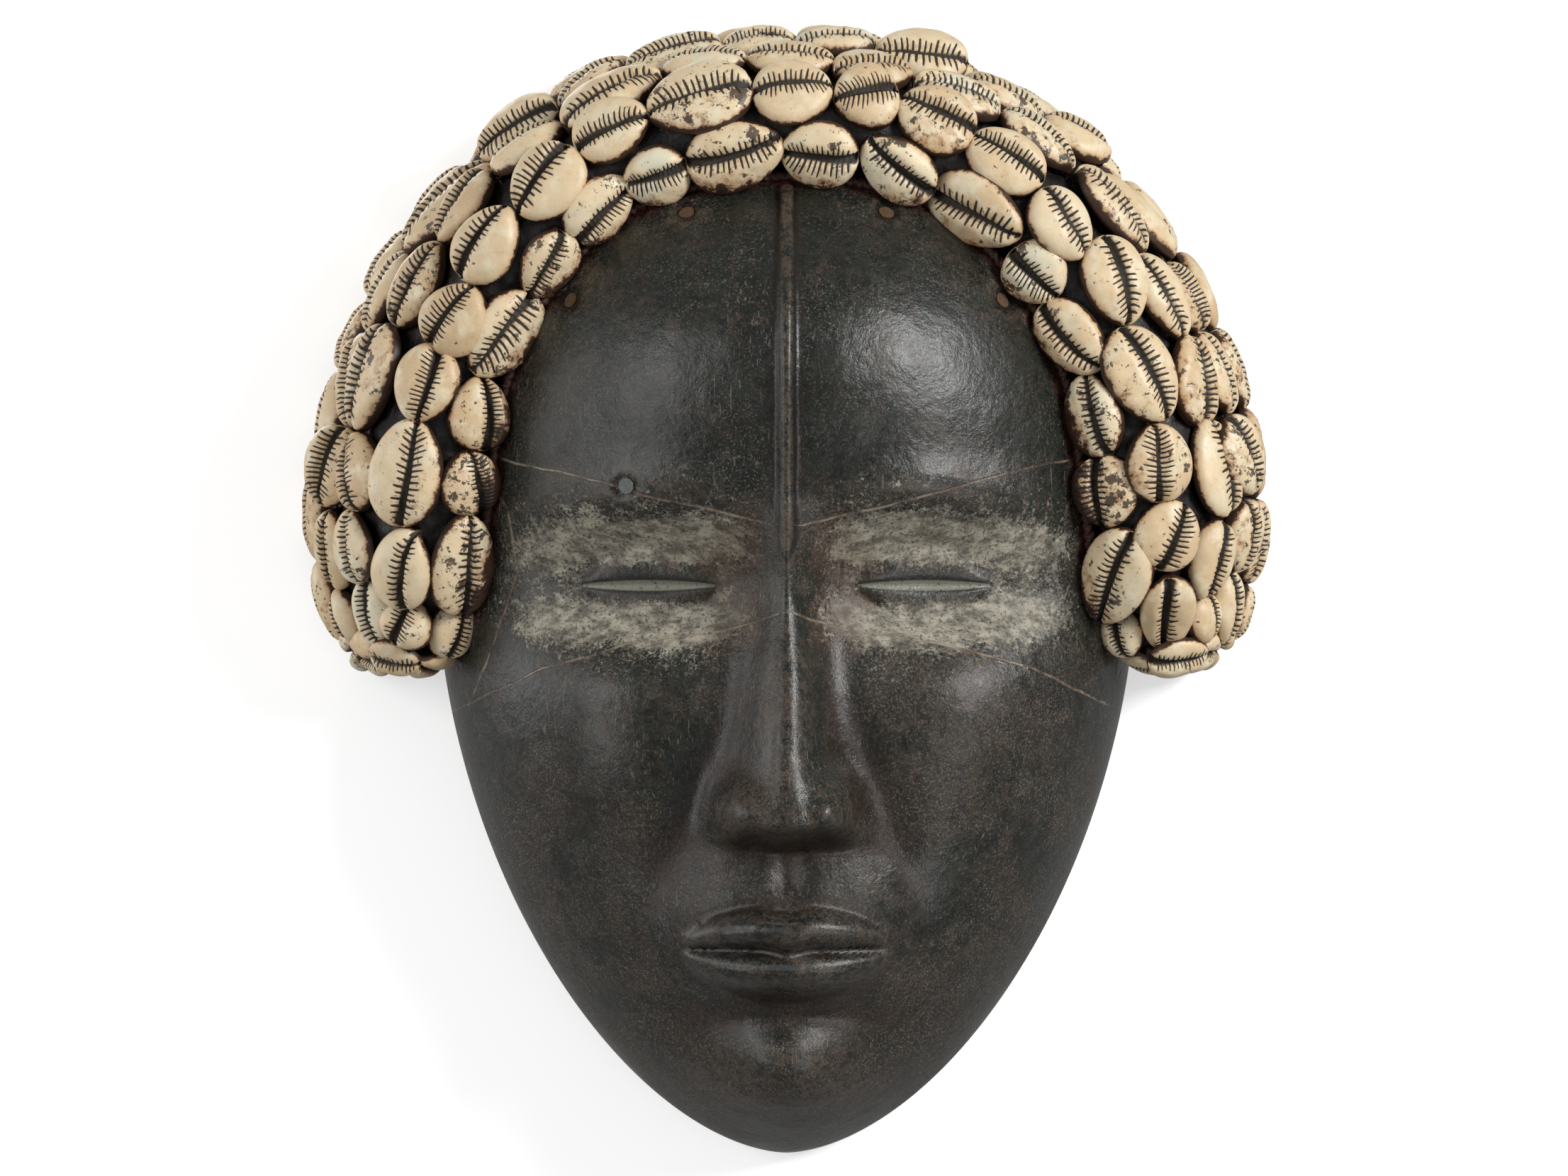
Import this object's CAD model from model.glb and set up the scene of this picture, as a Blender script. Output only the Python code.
"""Looks for the carved wooden mask with a cowrie headdress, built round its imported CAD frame.

Shapes are worked out in millimetres, with z up from the tip of the chin and depth forward from the
wall, as the CAD part does. metres() turns them into the frame, whose origin is the hanging point.
"""
import math
from functools import partial

import bmesh
import bpy
import numpy as np
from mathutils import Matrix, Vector, noise


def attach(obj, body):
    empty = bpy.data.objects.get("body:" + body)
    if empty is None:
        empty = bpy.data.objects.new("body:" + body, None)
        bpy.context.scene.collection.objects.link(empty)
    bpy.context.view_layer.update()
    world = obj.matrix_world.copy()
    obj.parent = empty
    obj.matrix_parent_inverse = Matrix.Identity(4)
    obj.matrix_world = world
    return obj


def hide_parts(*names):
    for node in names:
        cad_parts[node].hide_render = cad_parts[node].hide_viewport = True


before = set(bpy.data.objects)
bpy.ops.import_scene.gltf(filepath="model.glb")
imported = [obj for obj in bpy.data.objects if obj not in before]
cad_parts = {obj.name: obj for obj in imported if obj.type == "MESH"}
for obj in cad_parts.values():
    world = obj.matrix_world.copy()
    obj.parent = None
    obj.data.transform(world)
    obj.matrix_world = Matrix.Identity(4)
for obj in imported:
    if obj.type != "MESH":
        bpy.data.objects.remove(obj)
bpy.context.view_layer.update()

# ---- Driving sizes, the same as the CAD part's, in millimetres ----
FACE_HEIGHT = 240.0
EYE_LINE = 140.0
HALF_WIDTH = 86.0
CROWN = 115.0
CROWN_POWER = 2.3
JAW_POWER = 1.75
DOME_DEPTH = 64.0
RIM_WIDTH = 13.0
HOLLOW_DEPTH = 50.0
HANGING_POINT = EYE_LINE + CROWN - RIM_WIDTH / 2

SHELL_HEIGHT = 7.0
COVER_THICKNESS = 2.0
END_ROUNDING = 17.0
ARCH_LENGTH = 390.0
LEAST_SEAT = 22.0
HEM_RADIUS = 1.1
HEM_AWAY = 2.7
HEM_LAY = 4.4

HEM = [[0, 240], [36, 233], [59, 211], [70, 187], [74, 160], [78, 138], [86, 119]]
OUTLINE = [[0, 279], [44, 271], [84, 243], [108, 209], [118, 176], [120, 148], [112, 122]]

BROW = FACE_HEIGHT * 2 / 3
NOSE_BASE = FACE_HEIGHT / 3
MOUTH = NOSE_BASE * 2 / 3
EYE_WIDTH = 33.0
MOUTH_HALF = EYE_WIDTH * 0.75

# Rows of cowries, counted from the face outwards: places as shares of the cover's width, the
# numbers of the large ones in each row, sizes in millimetres and turns in radians.
FIRST_ROW = 0.15
ROW_PITCH = 0.18
ROW_COUNTS = [18, 19, 19, 20, 20]
LARGE = [[1, 4, 8, 11, 16], [2, 8, 15], [3, 7, 13], [5, 14], []]
STRINGS_IN_ROW = 5
MOST_WIDTH = 17.0
MOST_TURN = 0.5
END_MARGIN = 0.027
END_SHELL = 0.62
END_ROW = len(ROW_COUNTS)
# The small cowries across each lower end.
END_PLACE = 0.019
END_SHARES = (0.13, 0.36, 0.6, 0.84)
END_LENGTH = 13.5
END_WIDTH = 9.5
END_HEIGHT = 4.8

# The pegs and the plug as x and z, and the dips worn round them: depths, and where a slope runs.
PEGS = {"left_upper": (-24, 229), "right_upper": (24, 229),
        "left_lower": (-52, 208), "right_lower": (52, 208)}
PLUG = (-38, 163)
PEG_DIP = 1.4
PLUG_DIP = 0.9
DIP_EDGE = (2.2, 3.4)

# ---- How the shown cowries differ from the CAD part's plain ones ----
# One value for each row from the face outwards, and the last for the cowries on the lower ends:
# shares of the plain width, metres sunk into the pitch, lean to the front, and share of the tilt.
WIDER = (1.36, 1.3, 1.24, 1.16, 1.08, 1.2)
SUNK = (0.0003, 0.0003, 0.0005, 0.0012, 0.0018, 0.0006)
FACING = (0.45, 0.12, 0.0, 0.0, 0.0, 0.0)
LOOSE = (1.0, 1.0, 1.0, 1.6, 1.1, 1.0)
# At the crown the rows crowd towards each other by these shares of the cover's width.
TOP_SHIFT = (0.006, -0.018, -0.012, 0.0, 0.0)
# These shells of each row stand off the cloth on their wall side.
PROUD = ((), (), (), (2, 6, 11, 13, 17), ())
PROUD_FACING = 0.55
PROUD_LIFT = 0.0019
SHELL_MASKS = ("slit_gap", "tooth_turns", "tooth_reach", "side", "foot", "pick", "stain", "hem_side")


# ---- Small helpers ----
def bell(distance, width):
    return np.exp(-((distance / width) ** 2))


def smooth(low, high, value):
    t = np.clip((value - low) / (high - low), 0.0, 1.0)
    return t * t * (3 - 2 * t)


def scatter(index, seed):
    """A repeatable uneven number between 0 and 1."""
    wave = math.sin(index * 12.9898 + seed * 78.233) * 43758.5453
    return wave - math.floor(wave)


def running_length(points):
    """The length of a line of points up to each of them."""
    return np.concatenate([[0], np.cumsum(np.linalg.norm(np.diff(points, axis=0), axis=1))])


def units(vectors):
    """Each row of an array of directions at a length of 1."""
    return vectors / np.linalg.norm(vectors, axis=1)[:, None]


def metres(points):
    """Layout points (x, depth, z) in millimetres to frame points in metres."""
    points = np.asarray(points, dtype=float)
    return np.stack([points[..., 0], -points[..., 1], points[..., 2] - HANGING_POINT], axis=-1) * 0.001


def field(points, scale, seed, detail=1):
    """Smooth noise in about -1 to 1 at each point, with features about scale millimetres across."""
    values = np.zeros(len(points))
    offset = Vector((17.3 * seed, 5.1 * seed, 9.7 * seed))
    for octave in range(detail):
        factor = 2 ** octave / scale
        values += np.array([noise.noise(Vector(p) * factor + offset) for p in points]) / 2 ** octave
    return values


def blurred(grid, passes):
    """The grid averaged with its neighbours a number of times."""
    for _ in range(passes):
        padded = np.pad(grid, 1, mode="edge")
        grid = (padded[:-2, 1:-1] + padded[2:, 1:-1] + padded[1:-1, :-2] + padded[1:-1, 2:]) / 4
    return grid


def grid_faces(rows, columns, start=0, closed=False):
    """Quads between rows of corners; closed joins the last column to the first."""
    row = np.arange(rows - 1)[:, None] * columns
    column = np.arange(columns if closed else columns - 1)[None, :]
    beside = (column + 1) % columns
    quads = [row + column, row + beside, row + columns + beside, row + columns + column]
    return (np.stack(quads, axis=-1) + start).reshape(-1, 4)


def disc(u, v):
    """Carries a square, -1 to 1 both ways, into a round disc."""
    return u * np.sqrt(1 - v * v / 2), v * np.sqrt(1 - u * u / 2)


def border_loop(columns, rows):
    """The corner numbers round the edge of a grid of faces."""
    width = columns + 1
    bottom = np.arange(columns)
    right = np.arange(rows) * width + columns
    top = rows * width + columns - np.arange(columns)
    left = (rows - np.arange(rows)) * width
    return np.concatenate([bottom, right, top, left])


def in_scene(name, data):
    """A new object in the scene that holds the data."""
    holder = bpy.data.objects.new(name, data)
    bpy.context.scene.collection.objects.link(holder)
    return holder


def make_object(name, points, faces, materials, attributes=None, face_material=None):
    """A smooth-shaded mesh object from frame points in metres and lists of corner numbers."""
    mesh = bpy.data.meshes.new(name)
    mesh.from_pydata(np.asarray(points).tolist(), [], [list(map(int, f)) for f in faces])
    for attribute, values in (attributes or {}).items():
        layer = mesh.attributes.new(attribute, "FLOAT", "POINT")
        layer.data.foreach_set("value", np.asarray(values, dtype=np.float32).ravel())
    for material in materials:
        mesh.materials.append(material)
    if face_material is not None:
        mesh.polygons.foreach_set("material_index", np.asarray(face_material, dtype=np.int32))
    mesh.shade_smooth()
    mesh.update()
    return in_scene(name, mesh)


def finish_piece(piece, slot, *nodes):
    """Fixes a piece to the body and says which CAD nodes it stands for."""
    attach(piece, "root")
    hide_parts(*nodes)


def linear(colour):
    """A display colour, 0 to 255, as the linear colour that shaders take."""
    shares = [value / 255 for value in colour]
    return (*(c / 12.92 if c <= 0.04045 else ((c + 0.055) / 1.055) ** 2.4 for c in shares), 1.0)


# ---- Shader helpers ----
class Shader:
    """A material's node tree with short calls for the nodes used here."""

    def __init__(self, name):
        self.material = bpy.data.materials.new(name)
        self.material.use_nodes = True
        self.tree = self.material.node_tree
        self.surface = self.tree.nodes["Principled BSDF"]
        self.place = self.tree.nodes.new("ShaderNodeTexCoord").outputs["Object"]

    def put(self, socket, value):
        if isinstance(value, bpy.types.NodeSocket):
            self.tree.links.new(value, socket)
        else:
            socket.default_value = value

    def add(self, kind, inputs, output=0, **settings):
        node = self.tree.nodes.new(kind)
        for key, value in settings.items():
            setattr(node, key, value)
        for key, value in inputs.items():
            self.put(node.inputs[key], value)
        return node.outputs[output]

    def stretched(self, scale):
        return self.add("ShaderNodeMapping", {"Vector": self.place, "Scale": scale})

    def noise(self, size_mm, detail=3.0, roughness=0.55, distortion=0.0, vector=None):
        inputs = {"Vector": vector or self.place, "Scale": 1000.0 / size_mm, "Detail": detail}
        inputs.update({"Roughness": roughness, "Distortion": distortion})
        return self.add("ShaderNodeTexNoise", inputs)

    def mask(self, name):
        return self.add("ShaderNodeAttribute", {}, "Fac", attribute_name=name)

    def step(self, value, low, high, to_low=0.0, to_high=1.0):
        inputs = {"Value": value, "From Min": low, "From Max": high, "To Min": to_low, "To Max": to_high}
        return self.add("ShaderNodeMapRange", inputs, interpolation_type="SMOOTHSTEP")

    def fall(self, value, low, high):
        return self.step(value, low, high, 1.0, 0.0)

    def math(self, operation, first, second=0.0):
        node = self.tree.nodes.new("ShaderNodeMath")
        node.operation = operation
        self.put(node.inputs[0], first)
        self.put(node.inputs[1], second)
        return node.outputs[0]

    def times(self, first, second):
        return self.math("MULTIPLY", first, second)

    def plus(self, first, second):
        return self.math("ADD", first, second)

    def mix(self, factor, first, second):
        """Blends two colours, each a socket or a display colour of three numbers, 0 to 255."""
        node = self.tree.nodes.new("ShaderNodeMix")
        node.data_type = "RGBA"
        self.put(node.inputs[0], factor)
        for index, colour in ((6, first), (7, second)):
            self.put(node.inputs[index], linear(colour) if isinstance(colour, tuple) else colour)
        return node.outputs[2]

    def over(self, colour, amount, strength, paint):
        """The colour with paint laid over it wherever amount is above 0."""
        return self.mix(self.times(amount, strength), colour, paint)

    def bump(self, height, distance_mm):
        inputs = {"Height": height, "Distance": distance_mm * 0.001, "Strength": 1.0}
        return self.add("ShaderNodeBump", inputs)

    def set(self, **values):
        for key, value in values.items():
            self.put(self.surface.inputs[key.replace("_", " ")], value)


# ---- The carved face: the CAD part's formulas, with fine_cuts added to them ----
def outline_share(x, z, inset=0.0):
    above = z >= EYE_LINE
    power = np.where(above, CROWN_POWER, JAW_POWER)
    height = np.where(above, CROWN, EYE_LINE) - inset
    across = np.abs(x / (HALF_WIDTH - inset)) ** power
    return (across + np.abs((z - EYE_LINE) / height) ** power) ** (1 / power)


def plan_point(angle, share, inset=0.0):
    reach = share / outline_share(np.cos(angle), EYE_LINE + np.sin(angle), inset)
    return np.cos(angle) * reach, EYE_LINE + np.sin(angle) * reach


def edge_fall(x, z):
    return 1 - np.minimum(outline_share(x, z), 1) ** 2.6


def dome_depth(x, z):
    edge = edge_fall(x, z)
    forehead = 16 * bell(x, 60) * bell(z - BROW - 42, 44)
    return DOME_DEPTH * edge ** 0.55 + forehead * np.minimum(1, 4 * edge)


def nose_relief(x, z):
    down = np.clip((BROW - 6 - z) / (BROW - 6 - NOSE_BASE), 0, 1)
    width = 6 + 6.5 * down ** 1.6
    bridge = (5 + 18 * down ** 1.2) * np.exp(-(np.abs(x / width) ** 2.3))
    wings = 11 * bell(np.abs(x) - 11.5, 5.2) * bell(z - NOSE_BASE - 7, 7)
    fade = smooth(NOSE_BASE - 4, NOSE_BASE + 4, z) * (1 - smooth(BROW - 14, BROW + 6, z))
    return (bridge + wings) * fade


def ledge(offset, half_height):
    return np.maximum(0, 1 - (offset / half_height) ** 2)


def mouth_relief(x, z):
    reach = np.maximum(0, 1 - (x / MOUTH_HALF) ** 2) ** 0.5
    bow = 1.5 * bell(x, 4)
    upper = 6.5 * reach * ledge(z - MOUTH - 5.2 * reach + bow, 0.5 + 5.2 * reach)
    lower = 7.5 * reach * ledge(z - MOUTH + 6 * reach, 0.5 + 6 * reach)
    groove = -2 * bell(x, 3.5) * bell(z - MOUTH - 19, 7)
    return 10 * bell(x, 33) * bell(z - MOUTH - 2, 22) + upper + lower + groove


def eye_across(side):
    return np.maximum(0, 1 - ((side - EYE_WIDTH) / (EYE_WIDTH / 2)) ** 2)


def eye_relief(side, z):
    across = eye_across(side)
    lids = 3.4 * ledge(z - EYE_LINE, 0.5 + 8 * across ** 0.8) * across ** 0.4
    socket = -13 * bell(side - 34, 29) * bell(z - EYE_LINE + 1, 14.5)
    brow_edge = 2.5 * bell(side - 36, 30) * bell(z - BROW - 2 + 0.0035 * (side - 30) ** 2, 7)
    return lids + socket + brow_edge


def fine_cuts(side, z):
    """What the knife leaves after the big forms: nostrils, the parting of the lips, their border."""
    nostril = -3.0 * bell(side - 7.5, 3.0) * bell(z - NOSE_BASE - 0.5, 2.0)
    reach = np.sqrt(np.maximum(0, 1 - (side / MOUTH_HALF) ** 2))
    parting = -1.8 * bell(z - MOUTH + 0.8 * bell(side, 5), 0.8) * smooth(0.05, 0.4, reach)
    above = z - MOUTH - 10.4 * reach + 1.5 * bell(side, 4)
    border = -0.7 * bell(above - 0.9, 0.7) * smooth(0.1, 0.4, reach)
    return nostril + parting + border


def face_depth(x, z):
    side = np.abs(x)
    edge = edge_fall(x, z)
    ridge = 2.5 * np.exp(-(np.abs(x / 1.8) ** 3.4)) * smooth(BROW - 30, BROW, z) * (1 - smooth(232, 240, z))
    cheeks = 6 * bell(side - 43, 21) * bell(z - 106, 24)
    fold = -2.5 * bell(side - 24 - 0.35 * (NOSE_BASE - z), 7) * bell(z - NOSE_BASE + 2, 17)
    chin = 14 * bell(x, 20) * bell(z - 20, 15) - 4 * bell(x, 24) * bell(z - 37, 6)
    relief = ridge + cheeks + fold + chin + eye_relief(side, z) + nose_relief(x, z) + mouth_relief(x, z)
    relief = relief + fine_cuts(side, z)
    return dome_depth(x, z) + relief * np.minimum(1, 4 * edge)


# ---- Decoration cut and painted on the wood ----
CUT_LINES = {"upper_line": [(78, 172), (52, 166), (30, 160), (4, 154)],
             "lower_line": [(2, 133), (14, 129), (36, 126), (58, 120), (77, 111)],
             "side_line": [(76, 113), (70, 127), (64, 143), (67, 158), (76, 171)]}
CUT_STRENGTH = {"upper_line": 1.0, "lower_line": 0.9, "side_line": 0.7}
LINE_REACH = 4.0
HEM_REACH = 30.0


def line_offset(x, z, points):
    """Signed distance to a run of straight stretches, in millimetres, held within LINE_REACH."""
    best = np.full(x.shape, 1e9)
    signed = np.full(x.shape, LINE_REACH)
    for (x0, z0), (x1, z1) in zip(points, points[1:]):
        dx, dz = x1 - x0, z1 - z0
        length = math.hypot(dx, dz)
        along = np.clip(((x - x0) * dx + (z - z0) * dz) / length ** 2, 0, 1)
        away = np.hypot(x - x0 - along * dx, z - z0 - along * dz)
        side = ((x - x0) * dz - (z - z0) * dx) / length
        beyond = np.maximum(away - np.abs(side), 0)
        closer = away < best
        signed = np.where(closer, np.where(side < 0, side - beyond, side + beyond), signed)
        best = np.minimum(best, away)
    return np.clip(signed, -LINE_REACH, LINE_REACH)


def kaolin_amount(x, z):
    """The worn pale paint: strokes over and under each eye, thin towards the ends."""
    side = np.abs(x)
    flat = np.stack([x, 0 * x, z], axis=-1).reshape(-1, 3)
    wander = 2.2 * field(flat, 15, 8).reshape(x.shape)
    ends = smooth(1, 22, side) * (1 - smooth(52, 76, side + wander))
    lift = z - EYE_LINE + wander
    over = bell(lift - 10.5 + 0.0022 * (side - 32) ** 2, 4.6)
    under = bell(lift + 10.0 - 0.0022 * (side - 32) ** 2, 4.8)
    haze = 0.36 * bell(lift - 3, 20)
    lids = np.maximum(0, 1 - (np.abs(z - EYE_LINE) / 5.5) ** 3) * smooth(0, 0.3, eye_across(side))
    return ends * np.clip(over + under + haze, 0, 1) * (1 - 0.8 * lids)


def hem_distance(x, z):
    """How far each point is from the headdress's edge, up to HEM_REACH."""
    edge = catmull(both_sides(HEM), np.linspace(0.0, 1.0, 90))
    nearest = np.full(x.shape, HEM_REACH)
    for edge_x, edge_z in edge:
        nearest = np.minimum(nearest, np.hypot(x - edge_x, z - edge_z))
    return nearest


def slit_level(x, z):
    """0 along the middle of the eye slit and 1 at its edge, which tapers to both corners."""
    across = eye_across(np.abs(x))
    half = 0.3 + 1.1 * across
    return np.minimum(np.abs(z - EYE_LINE + 0.4) / half + 8 * (across <= 0), 8)


def pin_dips(x, z):
    """How far the wood is worn back round the pegs and the plug, which bares their ends."""
    dips = np.zeros(x.shape)
    for (pin_x, pin_z), depth in [(place, PEG_DIP) for place in PEGS.values()] + [(PLUG, PLUG_DIP)]:
        away = np.hypot(x - pin_x, z - pin_z)
        dips = np.maximum(dips, depth * (1 - smooth(*DIP_EDGE, away)))
    return dips


# ---- The carved face as a fine mesh ----
FRONT_ACROSS = 210
FRONT_UP = 310
HOLLOW_RINGS = 26


def front_plan():
    even = np.linspace(-1, 1, FRONT_ACROSS + 1)
    u = (even - 0.08 * np.sin(2 * np.pi * even))[None, :]
    v = np.linspace(-1, 1, FRONT_UP + 1)[:, None]
    disc_x, disc_z = disc(u, v)
    share = np.hypot(disc_x, disc_z)
    share[0, :] = share[-1, :] = 1
    share[:, 0] = share[:, -1] = 1
    return plan_point(np.arctan2(disc_z, disc_x), share)


RIB_AWAY = 9.0
FAR_VALUES = {"rib": RIB_AWAY, "slit_level": 8.0, "hem_distance": HEM_REACH}
FAR_VALUES.update({name: LINE_REACH for name in CUT_LINES})


def hollow_points(border_x, border_z):
    """Rings of the hollow from the rim inwards, with shallow gouge marks."""
    angle = np.arctan2(border_z - EYE_LINE, border_x)
    rings = []
    for ring in range(HOLLOW_RINGS + 1):
        share = math.cos(ring / HOLLOW_RINGS * math.pi / 2)
        x, z = plan_point(angle, max(share, 0.004), RIM_WIDTH)
        depth = HOLLOW_DEPTH * (1 - share ** 2.4) ** 0.6 + np.zeros(x.shape)
        if ring > 0:
            marks = [noise.voronoi(Vector((a / 9, b / 16, 3)))[0][0] for a, b in zip(x, z)]
            depth = depth + (1.1 * np.array(marks) - 0.5) * smooth(0, 4, ring)
        rings.append(np.stack([x, depth, z], axis=-1))
    return rings


def wooden_face(material, inside_material):
    x, z = front_plan()
    depth = face_depth(x, z)
    flat = np.stack([x, depth, z], axis=-1).reshape(-1, 3)
    edge = np.minimum(1, 4 * edge_fall(x, z))
    hand = 0.3 * field(flat, 16, 1, 2) + 0.09 * field(flat, 6, 3) + 0.05 * field(flat, 3, 2)
    hand = hand.reshape(x.shape)
    level = slit_level(x, z)
    carved = depth + (hand - 1.2 * bell(level, 1.1)) * edge - pin_dips(x, z)
    carved[0, :] = carved[-1, :] = 0
    carved[:, 0] = carved[:, -1] = 0
    rise = carved - blurred(carved, 14)
    front = np.stack([x, carved, z], axis=-1).reshape(-1, 3)
    border = border_loop(FRONT_ACROSS, FRONT_UP)
    inner = hollow_points(x.ravel()[border], z.ravel()[border])
    start = len(front)
    count = len(border)
    rim = np.stack([border, np.roll(border, -1), start + (np.arange(count) + 1) % count,
                    start + np.arange(count)], axis=-1)[:, ::-1]
    faces = [grid_faces(FRONT_UP + 1, FRONT_ACROSS + 1), rim,
             grid_faces(HOLLOW_RINGS + 1, count, start, closed=True)[:, ::-1]]
    points = np.concatenate([front, *inner])
    spare = len(points) - len(front)
    masks = {
        "kaolin": kaolin_amount(x, z),
        "left_half": smooth(-1, 1, -x),
        "slit_level": level,
        "nose_side": bell(np.abs(x) - 12, 9) * bell(z - EYE_LINE + 2, 22),
        "hem_distance": hem_distance(x, z),
        "rib": np.abs(x) + RIB_AWAY * (1 - smooth(BROW - 28, BROW - 8, z) * (1 - smooth(234, 242, z))),
        "worn": np.clip(rise / 0.35, 0, 1) * edge,
        "recess": np.clip(-rise / 0.35, 0, 1) * edge,
        "warm": 0.8 - 0.8 * smooth(70, 150, z) - smooth(160, 190, z) + 0.2 * bell(np.abs(x) - 25, 20),
        "lips": np.clip(ledge(z - MOUTH, 13) * ledge(x, MOUTH_HALF + 2) * 1.6, 0, 1),
    }
    for name, line in CUT_LINES.items():
        masks[name] = line_offset(np.abs(x), z, line)
    attributes = {}
    for key, value in masks.items():
        attributes[key] = np.concatenate([value.ravel(), np.full(spare, FAR_VALUES.get(key, 0.0))])
    all_faces = np.concatenate(faces)
    inside = np.arange(len(all_faces)) >= len(faces[0])
    materials = [material, inside_material]
    piece = make_object("carved_face", metres(points), all_faces, materials, attributes, inside)
    add_cap(piece, range(len(points) - count, len(points)))
    finish_piece(piece, "wood", "wooden_face")


def add_cap(piece, loop):
    """Closes the smallest ring of the hollow."""
    shape = bmesh.new()
    shape.from_mesh(piece.data)
    shape.verts.ensure_lookup_table()
    cap = shape.faces.new([shape.verts[i] for i in loop])
    cap.material_index = 1
    bmesh.ops.recalc_face_normals(shape, faces=shape.faces)
    shape.to_mesh(piece.data)
    shape.free()


# ---- The headdress surface ----
def catmull(points, share):
    """Points and tangents of a Catmull-Rom curve, as the CAD part's splines run."""
    points = np.asarray(points, dtype=float)
    last = len(points) - 1
    position = np.clip(share, 0, 1) * last
    index = np.minimum(position.astype(int), last)
    t = (position - index)[..., None]
    before = points[np.maximum(index - 1, 0)]
    here = points[index]
    after = points[np.minimum(index + 1, last)]
    beyond = points[np.minimum(index + 2, last)]
    slope_in = (after - before) / 2
    slope_out = (beyond - here) / 2
    a = 2 * here - 2 * after + slope_in + slope_out
    b = -3 * here + 3 * after - 2 * slope_in - slope_out
    return ((a * t + b) * t + slope_in) * t + here


def both_sides(points):
    return [[-x, z] for x, z in points[:0:-1]] + points


SHARE_STEPS = 160
ALONG_STEPS = 780
SHARES = np.linspace(0, 1, SHARE_STEPS + 1)


def section(along, inset=0.0, shares=SHARES):
    """One section of the headdress at even distances round it, as layout points."""
    hem = catmull(both_sides(HEM), np.array(along))
    outward = catmull(both_sides(OUTLINE), np.array(along)) - hem
    width = math.hypot(*outward) - SHELL_HEIGHT
    outward = outward / math.hypot(*outward)
    seat = max(float(dome_depth(hem[0], hem[1])), LEAST_SEAT)
    controls = [
        [0, seat - 3], [0.02 * width, seat + 4], [0.14 * width, seat + 8], [0.4 * width, seat + 8.5],
        [0.66 * width, seat + 1.5], [0.88 * width, seat * 0.66], [0.99 * width, seat * 0.34], [width, 0.8],
    ]
    dense = np.linspace(0, 1, 241)
    run = catmull(controls, dense)
    lengths = running_length(run)
    even = np.interp(shares * lengths[-1], lengths, dense)
    points = catmull(controls, even)
    tangent = catmull(controls, np.minimum(even + 0.002, 1)) - catmull(controls, np.maximum(even - 0.002, 0))
    tangent /= np.hypot(tangent[:, 0], tangent[:, 1])[:, None]
    points = points + inset * np.stack([tangent[:, 1], -tangent[:, 0]], axis=-1)
    from_end = min(along, 1 - along) * ARCH_LENGTH
    closing = math.sqrt(1 - (1 - min(1, from_end / END_ROUNDING)) ** 2)
    middle = np.array([width / 2, seat / 2])
    points = (points - middle) * closing + middle
    x = hem[0] + outward[0] * points[:, 0]
    z = hem[1] + outward[1] * points[:, 0]
    return np.stack([x, points[:, 1], z], axis=-1)


ALONGS = np.linspace(0, 1, ALONG_STEPS + 1)
SURFACE = np.stack([section(along) for along in ALONGS])


def cover_point(along, share):
    a = min(max(along, 0), 1) * ALONG_STEPS
    s = min(max(share, 0), 1) * SHARE_STEPS
    i, j = min(int(a), ALONG_STEPS - 1), min(int(s), SHARE_STEPS - 1)
    fa, fs = a - i, s - j
    low = SURFACE[i, j] * (1 - fs) + SURFACE[i, j + 1] * fs
    high = SURFACE[i + 1, j] * (1 - fs) + SURFACE[i + 1, j + 1] * fs
    return low * (1 - fa) + high * fa


def unit(vector):
    return vector / np.linalg.norm(vector)


def to_frame_axes(vector):
    """A layout direction (x, depth, z) as a frame direction."""
    return np.array([vector[0], -vector[1], vector[2]])


def cover_frame(along, share):
    ahead = to_frame_axes(cover_point(along + 0.004, share) - cover_point(along - 0.004, share))
    half = ROW_PITCH / 2
    across = to_frame_axes(cover_point(along, share + half) - cover_point(along, share - half))
    outward = unit(np.cross(ahead, across))
    return metres(cover_point(along, share)), unit(ahead), outward, across


# ---- Cowries ----
LENGTHWISE = 104
CROSSWISE = 44
WRAP = math.radians(122)


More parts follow.
